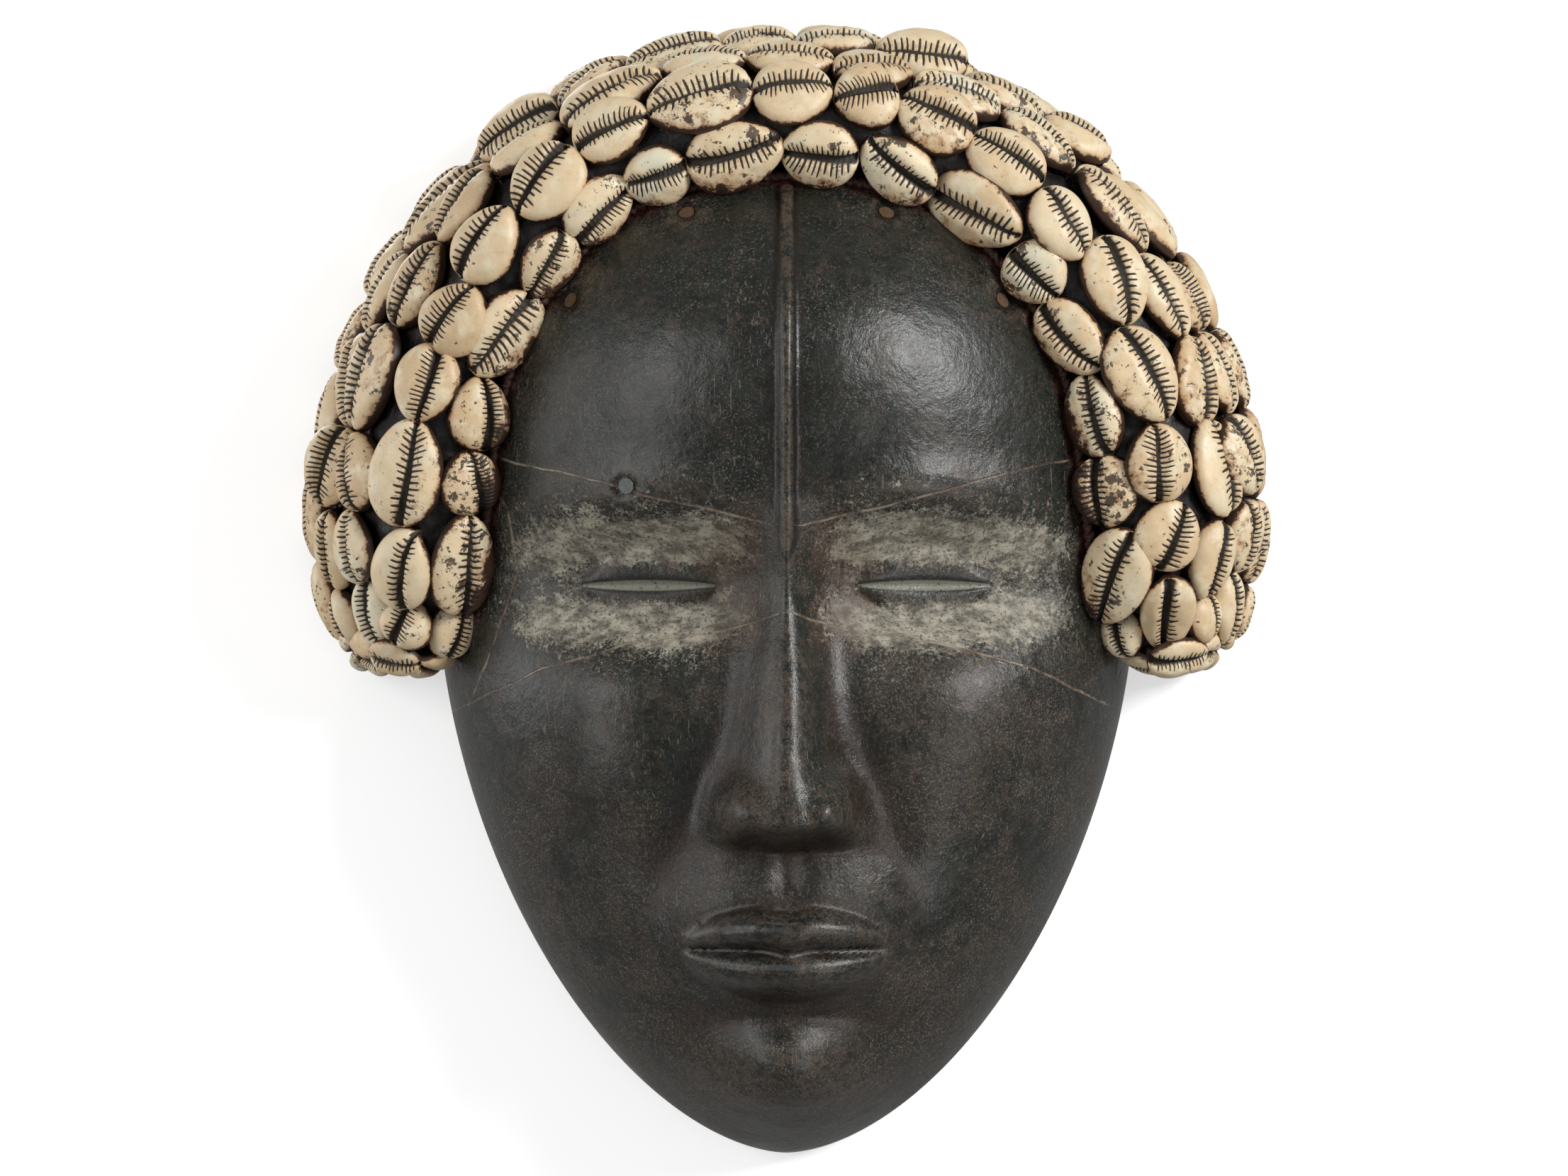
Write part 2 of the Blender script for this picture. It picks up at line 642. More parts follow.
def cowrie_mesh(length, width, height, seed):
    """One cowrie, slit side up, in its own millimetres: points, faces and masks.

    The masks carry where each corner lies across the slit and along its teeth, so that the
    material can draw the dark lines more finely than the mesh could.
    """
    luck = partial(scatter, seed)
    u = np.linspace(-1, 1, LENGTHWISE + 1)[None, :]
    v = np.linspace(-1, 1, CROSSWISE + 1)[:, None]
    disc_x, disc_y = disc(u, v)
    share = np.hypot(disc_x, disc_y)
    angle = np.arctan2(disc_y, disc_x)
    turn = share * WRAP
    radius = np.where(turn > math.pi / 2, np.sin(turn), np.sin(np.minimum(turn, math.pi / 2)) ** 0.92)
    x = radius * np.cos(angle)
    x = np.sign(x) * np.abs(x) ** 0.96
    bulge = 1 + (0.08 + 0.12 * luck(3)) * x - (0.03 + 0.05 * luck(14)) * x * x
    y = radius * np.sin(angle) * bulge
    margin = 0.3 * height
    flat = 0.62 + 0.14 * luck(15)
    crown = (height - margin) * np.abs(np.cos(turn)) ** flat
    z = margin + np.where(turn < math.pi / 2, crown, margin * 1.1 * np.cos(turn))
    x = x * length / 2
    y = y * width / 2

    along = x / (length / 2)
    bend = (luck(4) - 0.5) * 2.6
    curl = (luck(16) - 0.5) * 1.2
    offset = (luck(17) - 0.5) * 0.22
    slit_y = width * offset + bend * (along ** 2 - 0.4) + curl * along ** 3
    off = y - slit_y
    gap = np.abs(off)
    within = 1 - smooth(0.93, 1.0, np.abs(along))
    half = (0.52 + 0.28 * luck(5)) * (1 + 0.4 * along) + 0.5 * smooth(0.86, 1.0, np.abs(along))
    slit = np.exp(-((gap / half) ** 3)) * within
    lip = bell(gap, 1.7) * within
    shoulder = smooth(0.2, 3.0, off) * bell(off - 3.0, 2.6) * within
    z = z - 2.4 * slit - 0.5 * lip + 0.5 * shoulder

    # teeth: short cuts square to the slit that fan out a little towards the ends
    fan = x / (1 + 0.05 * gap) + 0.35 * gap * (luck(26) - 0.3)
    pitch = np.where(off > 0, 1.08, 1.2) * (0.92 + 0.2 * luck(6)) * (length / 19) ** 0.6
    phase = 2 * np.pi * fan / pitch + np.where(off > 0, 0.0, 2.3) + 6 * luck(7)
    phase = phase + 0.55 * np.sin(fan * 1.3 + 7 * luck(18))
    uneven = 0.5 + 0.5 * np.sin(fan * 1.7 + 9 * luck(8))
    longer = 1.0 if luck(19) > 0.5 else -1.0
    bold = (width / 14.5) * (0.85 + 0.4 * luck(20))
    reach = (1.9 + 0.9 * uneven + 0.7 * (off * longer > 0)) * bold
    reach = reach * (1 - 0.75 * smooth(0.7, 0.93, np.abs(along)))
    cut = smooth(0.5, 0.9, 0.5 + 0.5 * np.cos(phase))
    teeth = cut * (1 - smooth(0.7, 1.0, gap / np.maximum(reach, 0.05))) * (turn < 1.5)
    z = z - 0.3 * teeth
    z = z + 0.12 * np.sin(x * 0.8 + seed) * np.sin(y * 0.9 + 2 * seed) * (turn < 1.4)
    points = np.stack([x, y, z], axis=-1).reshape(-1, 3)
    masks = {
        "slit_gap": (gap / half + 4 * (1 - within)).ravel(),
        "tooth_turns": (phase / (2 * np.pi)).ravel(),
        "tooth_reach": (gap / np.maximum(reach, 0.05)).ravel(),
        "side": smooth(0.4, 1.0, share).ravel(),
        "foot": smooth(0.52, 0.85, share).ravel(),
    }
    return points, grid_faces(CROSSWISE + 1, LENGTHWISE + 1), masks


def row_places(row):
    share = FIRST_ROW + row * ROW_PITCH
    count = ROW_COUNTS[row]
    sizes = []
    for i in range(count):
        if i == (0 if row % 2 else count - 1):
            sizes.append(END_SHELL)
        elif i in LARGE[row]:
            sizes.append(1.22 + 0.12 * scatter(i, row))
        else:
            sizes.append(0.8 + 0.32 * scatter(i, row))
    alongs = np.linspace(END_MARGIN, 1 - END_MARGIN, 161)
    run = np.array([cover_point(along, share) for along in alongs])
    lengths = running_length(run)
    scale = lengths[-1] / sum(sizes)
    places = []
    used = 0.0
    for i, size in enumerate(sizes):
        along = float(np.interp((used + size / 2) * scale, lengths, alongs))
        used += size
        point, ahead, outward, across = cover_frame(along, share)
        room = float(np.linalg.norm(across))
        width = min(MOST_WIDTH, room * (0.9 + 0.12 * scatter(i, row + 20)) * (1.1 if size > 1.2 else 1))
        turn = MOST_TURN * (scatter(i, row + 40) - 0.5)
        slide = (0.07 if 0 < row < END_ROW - 1 else 0.012) * (scatter(i, row + 60) - 0.5)
        slide += TOP_SHIFT[row] * bell(along - 0.5, 0.2)
        point = cover_frame(along, share + slide)[0]
        places.append({"point": point, "ahead": ahead, "outward": outward, "hemward": -unit(across),
                       "length": size * scale * 0.94, "width": width, "turn": turn, "seed": row * 31 + i,
                       "row": row, "large": size > 1.2, "proud": i in PROUD[row]})
    return places


def end_places(end):
    """The small cowries that lie across one lower end of the headdress, 0 on the left or 1."""
    places = []
    for i, share in enumerate(END_SHARES):
        point, ahead, outward, across = cover_frame(abs(end - END_PLACE), share)
        turn = math.pi / 2 + 2 * MOST_TURN * (scatter(i, end + 88) - 0.5)
        places.append({"point": point, "ahead": ahead, "outward": outward, "hemward": -unit(across),
                       "length": END_LENGTH * (0.9 + 0.2 * scatter(i, end + 80)),
                       "width": END_WIDTH * (0.9 + 0.2 * scatter(i, end + 84)), "turn": turn,
                       "seed": 200 + 10 * end + i, "row": END_ROW, "large": False, "proud": False})
    return places


def turned(vector, axis, angle):
    """The vector turned about a unit axis by an angle."""
    cosine, sine = math.cos(angle), math.sin(angle)
    return vector * cosine + np.cross(axis, vector) * sine + axis * np.dot(axis, vector) * (1 - cosine)


def placed_cowrie(place):
    """A cowrie's points in the frame, with the masks its material reads."""
    seed = place["seed"]
    luck = partial(scatter, seed)
    length = place["length"] * (1.08 + 0.08 * luck(21))
    width = place["width"] * (WIDER[place["row"]] + 0.14 * luck(22))
    tall = END_HEIGHT if place["row"] == END_ROW else SHELL_HEIGHT - 0.1
    height = tall * (0.9 + 0.1 * luck(9)) * (1.04 if place["large"] else 1)
    points, faces, masks = cowrie_mesh(length, width, height, seed)
    outward = place["outward"]
    facing = PROUD_FACING if place["proud"] else FACING[place["row"]]
    outward = unit(outward + np.array([0.0, -facing, 0.0]))
    outward = unit(outward - np.dot(outward, place["ahead"]) * place["ahead"])
    turn = place["turn"] + 0.4 * (luck(23) - 0.5)
    ahead = turned(place["ahead"], outward, turn + (math.pi if luck(10) > 0.5 else 0))
    loose = LOOSE[place["row"]]
    outward = turned(outward, ahead, 0.34 * loose * (luck(11) - 0.5))
    across = np.cross(outward, ahead)
    nod = 0.2 * loose * (luck(24) - 0.5)
    outward = turned(outward, across, nod)
    ahead = turned(ahead, across, nod)
    local = points * 0.001
    lift = PROUD_LIFT if place["proud"] else 0.0007 * (luck(25) - 0.4) - SUNK[place["row"]]
    origin = place["point"] + outward * lift
    placed = origin + local[:, :1] * ahead + local[:, 1:2] * across + local[:, 2:] * outward
    placed[:, 1] = np.minimum(placed[:, 1], -0.0003)
    hemward = (placed - origin) @ place["hemward"] / (width * 0.0005)
    masks["hem_side"] = np.clip(hemward, 0, 1) * (1.0 if place["row"] == 0 else 0.3)
    masks["pick"] = np.full(len(points), luck(12))
    stain = 0.45 + 0.95 * luck(13) if place["row"] == 0 else 0.9 * luck(13)
    masks["stain"] = np.full(len(points), stain)
    return placed, faces, masks


THREAD_RINGS = 13
THREAD_CORNERS = 8
THREAD_RADIUS = 0.00055
THREAD_LIFT = 0.0017


def thread_between(first, second):
    """The sewing thread between two cowries, close to the cloth."""
    start = first["point"] + first["outward"] * THREAD_LIFT
    end = second["point"] + second["outward"] * THREAD_LIFT
    line = unit(end - start)
    side = unit(np.cross(line, first["outward"]))
    up = np.cross(side, line)
    points = []
    for k in range(THREAD_RINGS):
        middle = start + (end - start) * k / (THREAD_RINGS - 1)
        for corner in range(THREAD_CORNERS):
            angle = 2 * math.pi * corner / THREAD_CORNERS + k * 0.5
            radius = THREAD_RADIUS * (1 + 0.18 * math.cos(2 * angle))
            points.append(middle + radius * (math.cos(angle) * side + math.sin(angle) * up))
    return np.array(points), grid_faces(THREAD_RINGS, THREAD_CORNERS, closed=True)


def cowrie_string(name, node, places, shell, thread):
    """One string as a single piece: its cowries, and then the threads between them."""
    rim = border_loop(LENGTHWISE, CROSSWISE)[::-1]
    near_end = np.arange(THREAD_CORNERS)
    far_end = near_end + (THREAD_RINGS - 1) * THREAD_CORNERS
    parts = [(*placed_cowrie(place), [rim], 0) for place in places]
    for first, second in zip(places, places[1:]):
        placed, quads = thread_between(first, second)
        masks = {key: np.zeros(len(placed)) for key in SHELL_MASKS}
        parts.append((placed, quads, masks, [near_end[::-1], far_end], 1))
    faces, kinds = [], []
    start = 0
    for placed, quads, _, caps, kind in parts:
        faces += (quads + start).tolist() + [(cap + start).tolist() for cap in caps]
        kinds += [kind] * (len(quads) + len(caps))
        start += len(placed)
    points = np.concatenate([part[0] for part in parts])
    attributes = {key: np.concatenate([part[2][key] for part in parts]) for key in SHELL_MASKS}
    piece = make_object(name, points, faces, [shell, thread], attributes, kinds)
    finish_piece(piece, "cowrie", node)


def all_cowries(shell, thread):
    for row, count in enumerate(ROW_COUNTS):
        places = row_places(row)
        strings = count if row == 0 else STRINGS_IN_ROW
        for string in range(strings):
            first = math.floor(string * count / strings + 0.5)
            last = math.floor((string + 1) * count / strings + 0.5)
            tail = f"hem_{string + 1}" if row == 0 else f"string_{row + 1}_{string + 1}"
            cowrie_string("shell_" + tail, "cowrie_" + tail, places[first:last], shell, thread)
    for i, place in enumerate(end_places(0) + end_places(1)):
        cowrie_string(f"shell_end_{i + 1}", f"cowrie_end_{i + 1}", [place], shell, thread)


# ---- Cover, hem, backing and padding ----
def closed_sweep(name, rings, material):
    """A tube through the rings, closed by a flat face at each end."""
    size = len(rings[0])
    points = np.concatenate(rings)
    faces = grid_faces(len(rings), size, closed=True).tolist()
    faces.append(list(range(size))[::-1])
    faces.append(list(range(len(points) - size, len(points))))
    return make_object(name, metres(points), faces, [material])


def headdress_cover(material):
    """The pitch-coated cloth: lumpy outside, plain inside, sunk a little where it meets the wood."""
    shares = np.linspace(0, 1, 91)

    def outline(along):
        outside = section(along, 0.0, shares)
        inside = section(along, COVER_THICKNESS, shares[::-1])
        return np.concatenate([outside, inside])

    # the sections stand closer together near the two ends
    even = np.linspace(0, 1, 421)
    eased = even - 0.45 * np.sin(2 * np.pi * even) / (2 * np.pi)
    rings = [outline(0.0015 + 0.997 * share) for share in eased]
    points = np.concatenate(rings)
    lumps = 0.5 * field(points, 7, 5, 2) + 0.25 * field(points, 2.2, 6)
    size = len(rings[0])
    outer = np.tile(np.arange(size) < len(shares), len(rings))
    centre = np.repeat(np.array([ring.mean(axis=0) for ring in rings]), size, axis=0)
    away = points - centre
    away /= np.maximum(np.linalg.norm(away, axis=1), 1e-6)[:, None]
    points = points + away * (lumps * outer)[:, None]
    points[:, 1] = np.maximum(points[:, 1], 0.3)
    moved = [points[i * size:(i + 1) * size] for i in range(len(rings))]
    piece = closed_sweep("pitched_cover", moved, material)
    finish_piece(piece, "pitched_cloth", "headdress_cover")


def hem_cord(material):
    """A two-ply cord laid on the wood along the headdress's edge."""
    alongs = np.linspace(0.03, 0.97, 901)
    hem = catmull(both_sides(HEM), alongs)
    out = units(catmull(both_sides(OUTLINE), alongs) - hem)
    x, z = (hem - HEM_AWAY * out).T
    centre = np.stack([x, dome_depth(x, z) + HEM_RADIUS * 0.75, z], axis=-1)
    side = np.stack([out[:, 0], np.zeros(len(out)), out[:, 1]], axis=-1)
    up = units(np.cross(side, units(np.gradient(centre, axis=0))))
    travelled = running_length(centre)
    rings = []
    angle = np.linspace(0, 2 * np.pi, 16, endpoint=False)
    for k in range(len(alongs)):
        twist = 2 * np.pi * travelled[k] / HEM_LAY
        radius = HEM_RADIUS * (1.15 + 0.2 * np.cos(2 * (angle - twist)))
        around = np.cos(angle)[:, None] * side[k] + np.sin(angle)[:, None] * up[k]
        rings.append(centre[k] + radius[:, None] * around)
    piece = closed_sweep("hem_seam_cord", rings, material)
    finish_piece(piece, "cord", "hem_cord")


def restyle(node, material):
    """Gives a CAD node that is shown as it is its own material."""
    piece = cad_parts[node]
    piece.data.materials.clear()
    piece.data.materials.append(material)


# ---- Materials ----
def patinated_wood():
    s = Shader("patinated_wood")
    mottle = s.noise(6, 6, 0.72)
    fine = s.noise(1.1, 5, 0.75)
    sand = s.noise(0.5, 3, 0.65)
    clouds = s.plus(s.times(s.noise(26, 5, 0.65), 2.1), s.times(mottle, 0.7))
    bare = s.step(s.plus(clouds, s.times(s.mask("warm"), 0.2)), 1.34, 1.74)
    dark = s.mix(s.step(mottle, 0.35, 0.68), (12, 17, 14), (30, 37, 32))
    brown = s.mix(s.step(mottle, 0.35, 0.7), (25, 24, 20), (49, 45, 38))
    colour = s.mix(bare, dark, brown)
    salt = s.times(s.step(sand, 0.47, 0.64), s.step(fine, 0.36, 0.6))
    colour = s.mix(s.times(salt, s.plus(0.2, s.times(bare, 0.6))), colour, (114, 104, 92))
    pepper = s.step(s.noise(0.8, 4, 0.7), 0.46, 0.34)
    colour = s.over(colour, pepper, 0.5, (13, 13, 12))

    # reddish flecks, pale specks, grime in the hollows, bare edges and long fine scratches
    speck = s.times(s.step(s.noise(1.2, 5, 0.78), 0.58, 0.64), s.step(s.noise(13, 3), 0.38, 0.58))
    colour = s.over(colour, speck, 0.6, (104, 68, 54))
    dust = s.times(s.step(sand, 0.58, 0.64), s.step(s.noise(15, 4), 0.42, 0.62))
    colour = s.over(colour, dust, 0.5, (124, 122, 112))
    grime = s.times(s.mask("recess"), s.step(fine, 0.36, 0.58))
    colour = s.over(colour, grime, 0.5, (58, 38, 30))
    worn = s.times(s.mask("worn"), s.step(s.noise(2.4, 5, 0.8), 0.44, 0.58))
    colour = s.over(colour, worn, 0.5, (88, 74, 62))
    scratches = 0.0
    for angle, size, low in ((0.5, 0.7, 0.66), (-0.9, 0.6, 0.67), (1.5, 0.8, 0.69)):
        run = s.add("ShaderNodeMapping",
                    {"Vector": s.place, "Rotation": (0, angle, 0), "Scale": (1, 1, 0.05)})
        line = s.step(s.noise(size, 2, 0.5, vector=run), low, low + 0.025)
        scratches = s.math("MAXIMUM", scratches, s.times(line, s.step(s.noise(22, 2), 0.48, 0.62)))
    colour = s.over(colour, scratches, 0.55, (118, 110, 98))
    strokes = s.step(s.noise(1.6, 3, vector=s.stretched((0.12, 1, 1))), 0.5, 0.66)
    colour = s.over(colour, s.times(s.mask("lips"), strokes), 0.35, (86, 92, 94))

    # pale paint worn thin by handling: broad patches broken by crisp pits and flecks
    kaolin = s.mask("kaolin")
    broad = s.noise(8, 4, 0.6)
    brushed = s.noise(2.6, 5, 0.75, vector=s.stretched((0.6, 1, 1)))
    grit = s.noise(0.8, 6, 0.85)
    cover = s.plus(kaolin, s.plus(s.times(broad, 1.6), s.plus(s.times(brushed, 1.1), s.times(grit, 2.0))))
    cover = s.plus(cover, s.times(sand, 0.6))
    patch = s.step(cover, 3.06, 3.3)
    flecks = s.plus(s.times(kaolin, 0.4), s.plus(s.times(grit, 0.8), s.times(s.noise(3.2, 4, 0.7), 0.5)))
    patch = s.math("MAXIMUM", patch, s.times(s.step(flecks, 0.76, 0.84), 0.6))
    patch = s.times(patch, s.step(kaolin, 0.02, 0.12))
    pits = s.step(s.noise(0.75, 3, 0.6), 0.36, 0.46, 0.3, 1.0)
    patch = s.times(patch, pits)
    paint = s.mix(s.step(brushed, 0.35, 0.65), (102, 97, 86), (180, 174, 156))
    colour = s.over(colour, patch, 0.9, paint)
    rust = s.plus(s.times(s.mask("nose_side"), 0.5), s.noise(10, 3))
    rust = s.times(s.step(kaolin, 0.02, 0.2), s.times(s.step(rust, 0.62, 0.8), s.step(grit, 0.36, 0.56)))
    colour = s.over(colour, rust, 0.45, (98, 74, 58))
    level = s.mask("slit_level")
    lids = s.times(s.fall(level, 1.0, 3.4), s.step(grit, 0.35, 0.5))
    colour = s.over(colour, lids, 0.75, (40, 40, 36))
    slit = s.times(s.fall(level, 0.75, 1.05), s.step(s.noise(0.9, 4), 0.25, 0.48))
    colour = s.over(colour, slit, 0.85, (134, 134, 120))

    # the rib down the forehead: grime along both its feet, and its top rubbed bare
    rib = s.mask("rib")
    feet = s.times(s.step(rib, 1.4, 2.0), s.fall(rib, 2.3, 3.4))
    colour = s.over(colour, feet, 0.8, (14, 11, 9))
    rubbed = s.times(s.fall(rib, 0.9, 1.5), s.step(s.noise(2.4, 4, 0.7), 0.42, 0.6))
    colour = s.over(colour, rubbed, 0.5, (84, 70, 58))

    # thin cut lines that frame the painted band
    cuts = 0.0
    wander = s.plus(s.times(s.noise(14, 3), 2.0), -1.0)
    for name, strength in CUT_STRENGTH.items():
        away = s.math("ABSOLUTE", s.plus(s.mask(name), wander))
        away = s.plus(away, s.times(s.plus(grit, -0.5), 0.5))
        fade = s.step(s.noise(7.0, 4, 0.75), 0.36, 0.54, 0.2, 1.0)
        if name == "side_line":
            fade = s.times(fade, s.step(s.mask("left_half"), 0.2, 0.8, 0.35, 1.0))
        cuts = s.math("MAXIMUM", cuts, s.times(s.times(s.fall(away, 0.14, 0.42), fade), strength))
    cut_colour = s.mix(s.step(s.noise(6, 3), 0.4, 0.6), (112, 84, 68), (154, 142, 124))
    colour = s.over(colour, cuts, 0.8, cut_colour)

    # pitch that has run from the headdress's hem on to the wood
    hem = s.plus(s.mask("hem_distance"), s.plus(s.times(s.noise(5, 4, 0.7), -7), 3.0))
    pitch = s.fall(hem, 3.4, 6.2)
    pitch_colour = s.mix(s.step(fine, 0.4, 0.58), (22, 14, 12), (78, 42, 32))
    colour = s.over(colour, pitch, 0.85, pitch_colour)

    rough = s.plus(0.2, s.plus(s.times(bare, 0.14), s.plus(s.times(patch, 0.3), s.times(fine, 0.16))))
    height = s.plus(s.times(sand, 1.1), s.plus(s.times(s.noise(2.0, 4), 1.6), s.times(patch, 0.3)))
    height = s.plus(height, s.times(s.noise(8, 3), 4.0))
    height = s.plus(height, s.plus(s.times(cuts, -2.0), s.times(scratches, -0.6)))
    height = s.plus(height, s.times(pitch, s.times(s.noise(2.2, 4), 7.0)))
    s.set(Base_Color=colour, Roughness=rough, Specular_IOR_Level=0.46, Normal=s.bump(height, 0.07))
    return s.material


def raw_wood():
    s = Shader("raw_hollow_wood")
    grain = s.noise(2.0, 4, 0.6, 0.6, vector=s.stretched((1.0, 1.0, 0.08)))
    colour = s.mix(s.step(grain, 0.3, 0.7), (52, 38, 27), (104, 78, 54))
    stain = s.step(s.noise(24, 4), 0.42, 0.62)
    colour = s.over(colour, stain, 0.7, (44, 34, 26))
    s.set(Base_Color=colour, Roughness=s.plus(0.62, s.times(grain, 0.2)), Normal=s.bump(grain, 0.12))
    return s.material


def cowrie_shell():
    s = Shader("cowrie_shell")
    names = ("pick", "stain", "hem_side", "tooth_reach")
    pick, stain, hem_side, reach = (s.mask(name) for name in names)
    cream = s.mix(pick, (236, 215, 178), (212, 184, 144))
    cloudy = s.mix(s.step(s.noise(6.0, 3), 0.45, 0.7), cream, (232, 218, 186))
    pale = s.times(s.fall(pick, 0.0, 0.35), s.step(s.noise(9.0, 3), 0.44, 0.62))
    cloudy = s.over(cloudy, pale, 0.75, (222, 222, 198))
    tan = s.times(s.mask("side"), s.step(s.noise(4.5, 4), 0.28, 0.58))
    colour = s.over(cloudy, tan, 0.7, (196, 146, 98))
    colour = s.over(colour, s.step(s.noise(1.7, 4, 0.7), 0.5, 0.72), 0.25, (168, 128, 90))
    beside_slit = s.fall(reach, 0.3, 1.4)
    near_slit = s.times(beside_slit, s.step(s.noise(1.1, 3), 0.35, 0.6))
    colour = s.over(colour, near_slit, 0.4, (170, 128, 88))
    # brown stain creeps up from the pitch, most of all on the side towards the face
    creep = s.plus(s.mask("foot"), s.plus(s.times(s.noise(2.6, 4, 0.7), 1.3), -0.6))
    creep = s.plus(creep, s.times(stain, 0.2))
    creep = s.plus(creep, s.times(hem_side, s.plus(0.25, s.times(stain, 0.55))))
    colour = s.over(colour, s.step(creep, 0.32, 0.62), 0.75, (160, 108, 66))
    colour = s.over(colour, s.step(creep, 0.54, 0.68), 0.94, (40, 23, 15))
    spots = s.step(s.plus(s.noise(2.0, 4, 0.7), s.times(stain, 0.12)), 0.7, 0.73)
    smear = s.plus(s.noise(6.5, 5, 0.7), s.times(stain, 0.12))
    smear = s.step(s.plus(smear, s.times(hem_side, 0.08)), 0.7, 0.73)
    marks = s.math("MAXIMUM", spots, smear)
    colour = s.over(colour, marks, 0.9, s.mix(s.noise(3, 3), (26, 15, 11), (66, 40, 25)))
    rough_edge = s.plus(s.times(s.noise(0.6, 3), 0.5), -0.25)
    slit = s.fall(s.plus(s.mask("slit_gap"), rough_edge), 1.0, 1.5)
    wave = s.math("COSINE", s.times(s.mask("tooth_turns"), 2 * math.pi))
    blunted = s.times(reach, 0.72)
    tooth = s.math("SUBTRACT", s.plus(wave, s.times(rough_edge, 1.4)), blunted)
    cut = s.times(s.step(tooth, -0.12, 0.14), s.fall(reach, 0.9, 1.05))
    dark = s.math("MAXIMUM", slit, cut)
    colour = s.over(colour, dark, 0.96, (17, 12, 10))
    rough = s.plus(0.36, s.plus(s.times(dark, 0.25), s.times(s.noise(2.0, 3), 0.16)))
    height = s.plus(s.plus(s.times(s.noise(0.9, 3), 0.5), s.noise(3.0, 3)), s.times(dark, -1.2))
    s.set(Base_Color=colour, Roughness=rough, Normal=s.bump(height, 0.09))
    return s.material


def pitched_cloth():
    s = Shader("pitched_cloth")
    lumps = s.noise(2.6, 5, 0.65)
    colour = s.mix(s.step(lumps, 0.4, 0.66), (10, 7, 6), (34, 22, 17))
    s.set(Base_Color=colour, Roughness=s.step(s.noise(4, 3), 0.35, 0.7, 0.3, 0.7), Normal=s.bump(lumps, 0.5))
    return s.material


def cord_fibre():
    s = Shader("cord_fibre")
    fibre = s.noise(0.5, 3)
    colour = s.mix(s.step(fibre, 0.35, 0.65), (26, 16, 13), (92, 56, 42))
    s.set(Base_Color=colour, Roughness=0.6, Normal=s.bump(fibre, 0.1))
    return s.material


def woven_backing():
    s = Shader("woven_backing")
    inputs = {"Vector": s.place, "Scale": 190.0, "Distortion": 1.2, "Detail": 2.0}
    warp, weft = (s.add("ShaderNodeTexWave", inputs, "Fac", bands_direction=axis) for axis in "XZ")
    weave = s.math("MAXIMUM", warp, weft)
    colour = s.mix(s.step(weave, 0.4, 0.95), (44, 34, 26), (116, 94, 70))
    colour = s.over(colour, s.step(s.noise(14, 4), 0.45, 0.66), 0.75, (40, 28, 21))
    s.set(Base_Color=colour, Roughness=0.88, Normal=s.bump(weave, 0.35))
    return s.material


def end_grain():
    s = Shader("peg_end_grain")
    colour = s.mix(s.noise(0.9, 4), (40, 30, 23), (112, 82, 54))
    s.set(Base_Color=colour, Roughness=0.75, Normal=s.bump(s.noise(0.5, 3), 0.1))
    return s.material


def grey_plug():
    s = Shader("grey_plug")
    colour = s.mix(s.noise(0.8, 4), (66, 70, 68), (126, 130, 124))
    s.set(Base_Color=colour, Roughness=0.55, Normal=s.bump(s.noise(0.5, 3), 0.08))
    return s.material


def plain_white(name, glow):
    s = Shader(name)
    s.set(Base_Color=(0.9, 0.9, 0.9, 1), Roughness=0.9)
    s.set(**{"Emission Color": (1, 1, 1, 1), "Emission Strength": glow})
    return s.material


# ---- Stage, light and camera ----
CAMERA_DISTANCE = 1.5
VIEW_WIDTH = 0.376
VIEW_CENTRE = (-0.0006, -0.040, (139 - HANGING_POINT) * 0.001)
FLOOR = -HANGING_POINT * 0.001 - 0.09
FLOOR_SIZE = 6
FLOOR_GLOW = 0.7
WALL_SIZE = 0.9
WALL_GAP = 0.0012
WALL_GLOW = 0.53


def join_shaders(tree, factor, first, second, output):
    """Sends the output the first shader where the factor is 0 and the second where it is 1."""
    choose = tree.nodes.new("ShaderNodeMixShader")
    for value, socket in zip((factor, first.outputs[0], second.outputs[0]), choose.inputs):
        tree.links.new(value, socket)
    tree.links.new(choose.outputs[0], tree.nodes[output].inputs["Surface"])


def glowing_square(name, size, middle, tilt, glow, passed_by):
    """A white stage piece that the named kinds of light ray pass by."""
    bpy.ops.mesh.primitive_plane_add(size=size, location=middle, rotation=(tilt, 0, 0))
    square = bpy.context.object
    square.name = name
    square.data.materials.append(plain_white(name + "_white", glow))
    for kind in passed_by:
        setattr(square, "visible_" + kind, False)
    return square


def stage():
    """A pale floor, and a wall just behind the mask that is clear when it is seen from behind."""
    rays = ("glossy", "diffuse", "transmission", "shadow")
    floor = glowing_square("floor", FLOOR_SIZE, (0, 0, FLOOR), 0, FLOOR_GLOW, rays[:2])
    middle = (0, WALL_GAP, VIEW_CENTRE[2])
    wall = glowing_square("wall", WALL_SIZE, middle, math.pi / 2, WALL_GLOW, rays)
    tree = wall.data.materials[0].node_tree
    clear = tree.nodes.new("ShaderNodeBsdfTransparent")
    away = tree.nodes.new("ShaderNodeNewGeometry").outputs["Backfacing"]
    join_shaders(tree, away, tree.nodes["Principled BSDF"], clear, "Material Output")


LIGHT_AIM = Vector((0, -0.03, -0.11))
LIGHT_DISTANCE = 1.4
ROOM_LIGHT = 0.32
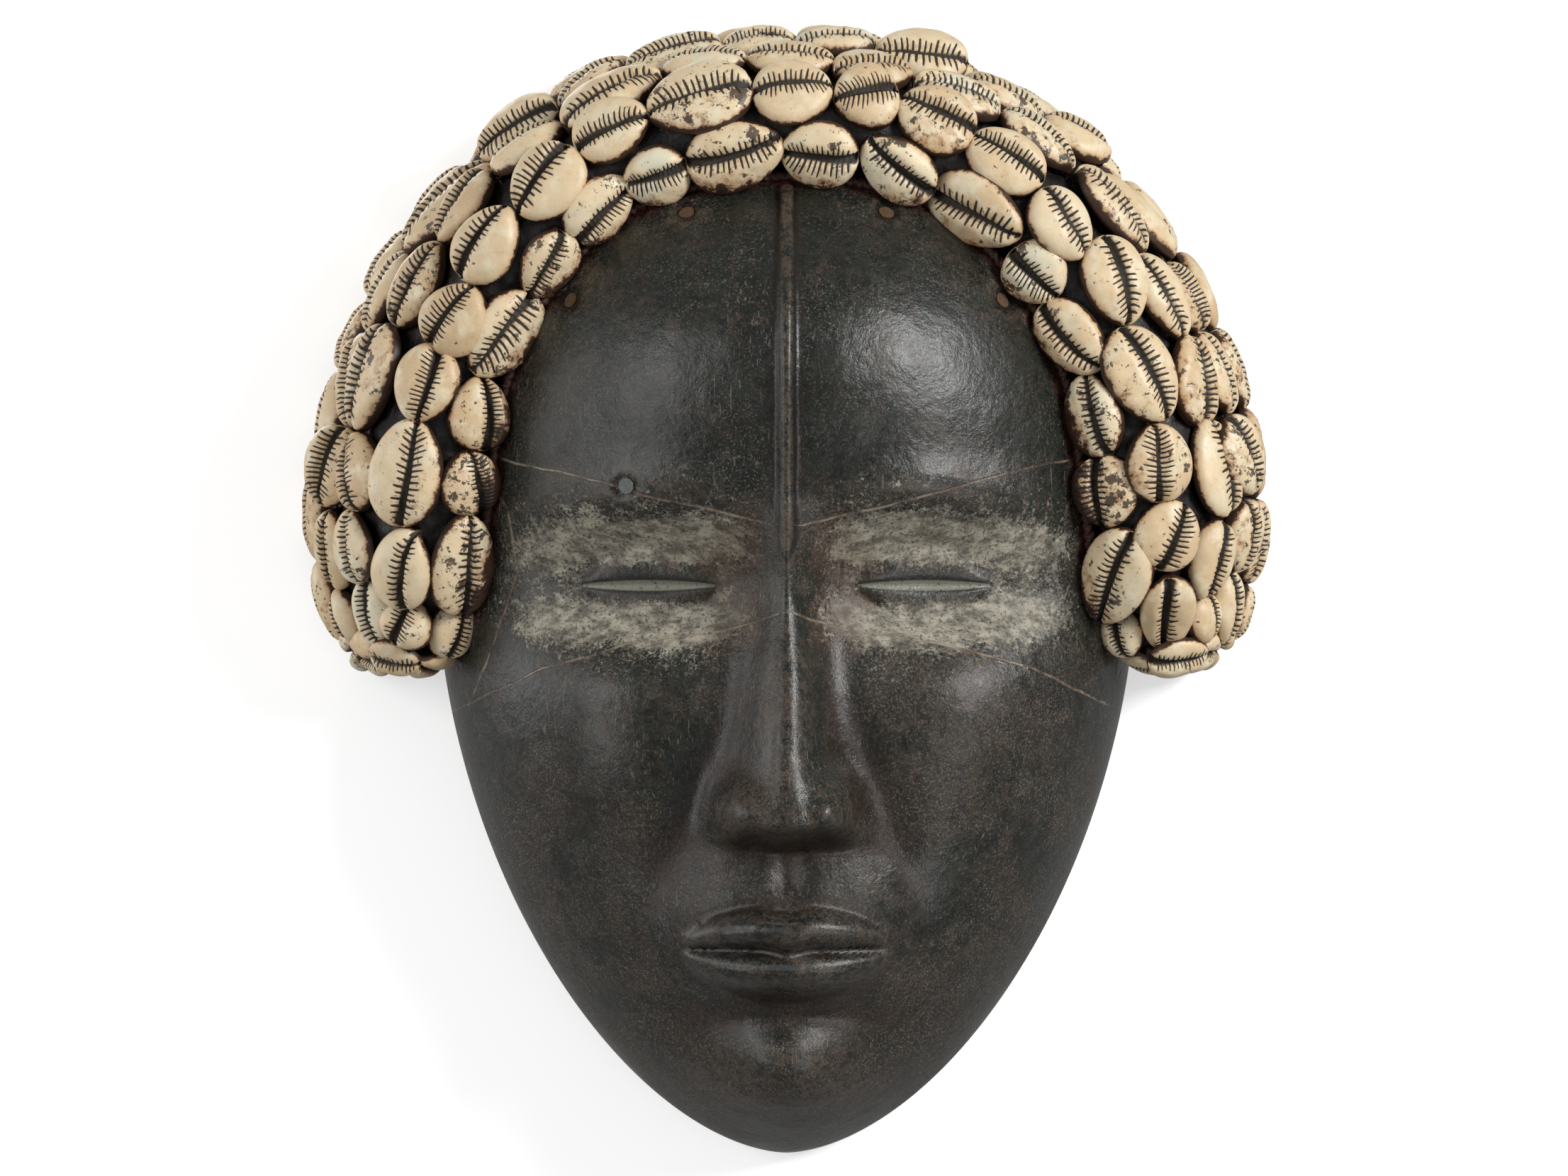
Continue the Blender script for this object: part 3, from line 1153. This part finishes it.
# Azimuth and elevation in degrees, size in metres and power in watts.
LIGHTS = {"key": (52, 21, 0.42, 15.6), "fill": (-50, 13, 0.6, 5), "side": (-98, 8, 0.8, 5),
          "low_left": (-54, -20, 0.5, 4.4), "low_right": (42, -26, 0.5, 4.3), "behind": (-160, 22, 0.8, 8)}


def soft_light(name, azimuth, elevation, size, power):
    """A square soft light; azimuth is measured from the front towards +X, both in degrees."""
    turn, rise = math.radians(azimuth), math.radians(elevation)
    away = Vector((math.sin(turn) * math.cos(rise), -math.cos(turn) * math.cos(rise), math.sin(rise)))
    lamp = bpy.data.lights.new(name, "AREA")
    lamp.size = size
    lamp.energy = power
    holder = in_scene(name, lamp)
    holder.location = LIGHT_AIM + away * LIGHT_DISTANCE
    holder.rotation_euler = away.to_track_quat("Z", "Y").to_euler()


def lights():
    for name, values in LIGHTS.items():
        soft_light(name, *values)
    world = bpy.data.worlds.new("studio")
    bpy.context.scene.world = world
    world.use_nodes = True
    tree = world.node_tree
    lit = tree.nodes["Background"]
    seen = tree.nodes.new("ShaderNodeBackground")
    for shade, strength in ((lit, ROOM_LIGHT), (seen, 1.0)):
        shade.inputs["Color"].default_value = (1, 1, 1, 1)
        shade.inputs["Strength"].default_value = strength
    direct = tree.nodes.new("ShaderNodeLightPath").outputs["Is Camera Ray"]
    join_shaders(tree, direct, lit, seen, "World Output")
    bpy.context.scene.view_settings.view_transform = "Standard"


def camera():
    lens = bpy.data.cameras.new("camera")
    lens.sensor_width = 36
    lens.lens = 36 * CAMERA_DISTANCE / VIEW_WIDTH
    holder = in_scene("camera", lens)
    holder.location = (VIEW_CENTRE[0], VIEW_CENTRE[1] - CAMERA_DISTANCE, VIEW_CENTRE[2])
    holder.rotation_euler = (math.pi / 2, 0, 0)
    bpy.context.scene.camera = holder


camera()
stage()
lights()
wooden_face(patinated_wood(), raw_wood())
headdress_cover(pitched_cloth())
thread = cord_fibre()
hem_cord(thread)
all_cowries(cowrie_shell(), thread)
backing = woven_backing()
restyle("headdress_backing", backing)
restyle("padding_roll", backing)
pegs = end_grain()
for name in PEGS:
    restyle("rim_peg_" + name, pegs)
restyle("brow_plug", grey_plug())
